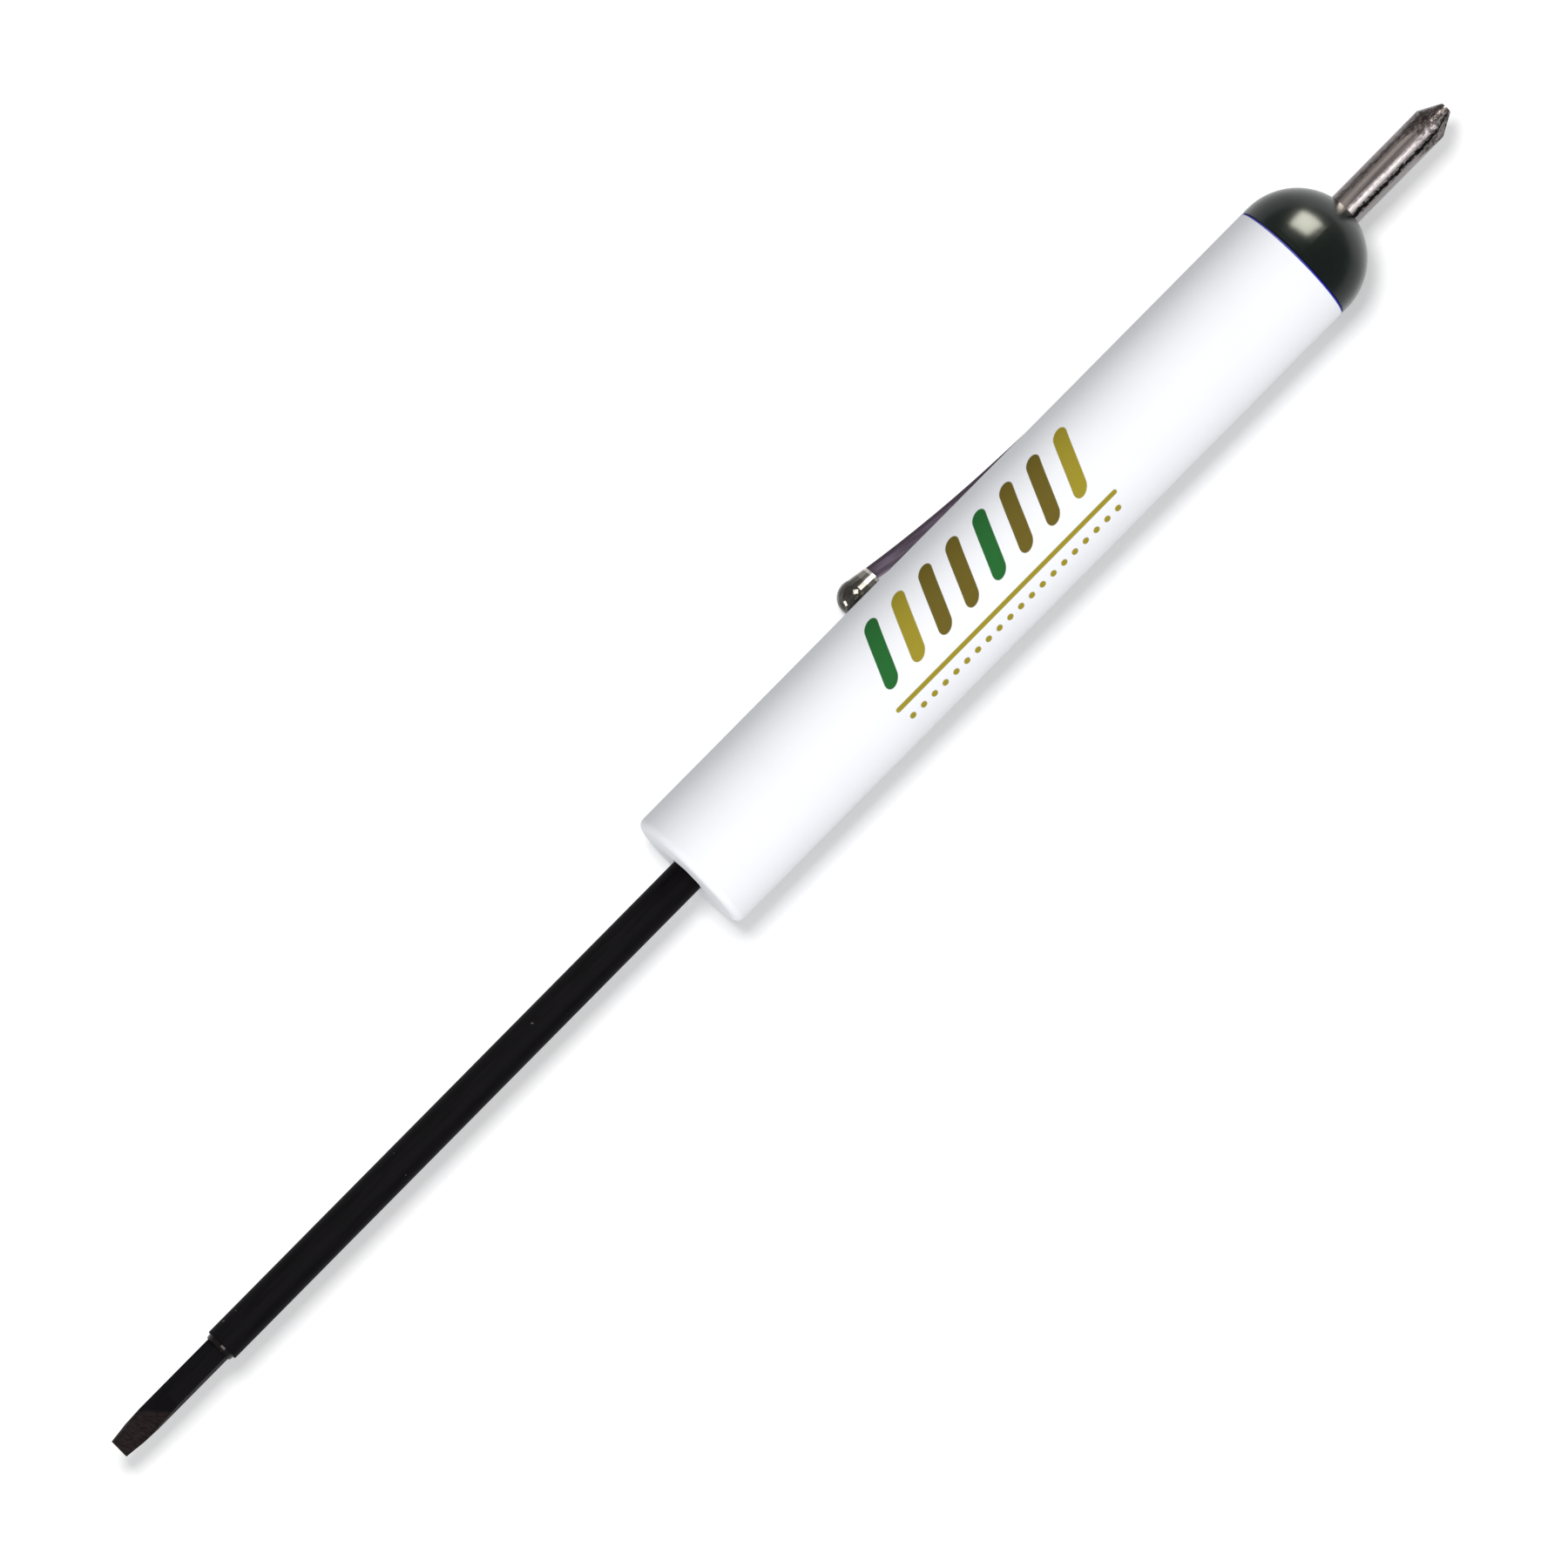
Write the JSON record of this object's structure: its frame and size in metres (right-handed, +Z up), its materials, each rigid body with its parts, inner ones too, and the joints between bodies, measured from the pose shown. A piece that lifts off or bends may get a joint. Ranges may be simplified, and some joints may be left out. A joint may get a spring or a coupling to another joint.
{
  "type": "pocket screwdriver",
  "caption": "Slim pocket screwdriver: round barrel with a spring clip, a slotted blade in a tubular shaft, and a cross-point blade in the domed cap.",
  "frame": {"origin": "on the tool's axis at the barrel's nose face, where the shaft's free length starts", "axes": "+X along the tool's axis towards the domed cap, so the slotted tip points to -X; +Z up; the tool lies on a table with its clip low on the +Y side"},
  "size_m": [0.1526, 0.0133, 0.0114],
  "materials": {
    "white_moulding": "satin white styrene moulding",
    "green_moulding": "gloss very dark green moulding",
    "plated_blade": "bright nickel plate over steel",
    "plated_spring": "bright nickel plate over spring steel",
    "black_tube": "black oxide",
    "bright_collar": "turned bright steel",
    "black_blade": "black oxide, ground at the tip",
    "natural_nylon": "natural nylon moulding",
    "plain_steel": "bright drawn"
  },
  "bodies": {
    "handle": {"barrel": "white_moulding", "dome_cap": "green_moulding", "phillips_blade": "plated_blade", "shaft_sleeve": "black_tube", "retaining_collar": "bright_collar", "shaft_holder": "natural_nylon", "thrust_rod": "plain_steel"},
    "clip": {"pocket_clip": "plated_spring"},
    "blade": {"reversible_blade": "black_blade"}
  },
  "joints": [
    {"name": "clip_flex", "type": "hinge", "parent": "handle", "child": "clip", "pos_m": [0.061, 0.00413, -0.00282], "axis": [0, -0.5646, -0.8253], "range_deg": [0, 5], "stiffness_Nm_per_rad": 0.13},
    {"name": "blade_pull", "type": "slide", "parent": "handle", "child": "blade", "axis": [-1, 0, 0], "range_m": [0, 0.0345]}
  ]
}
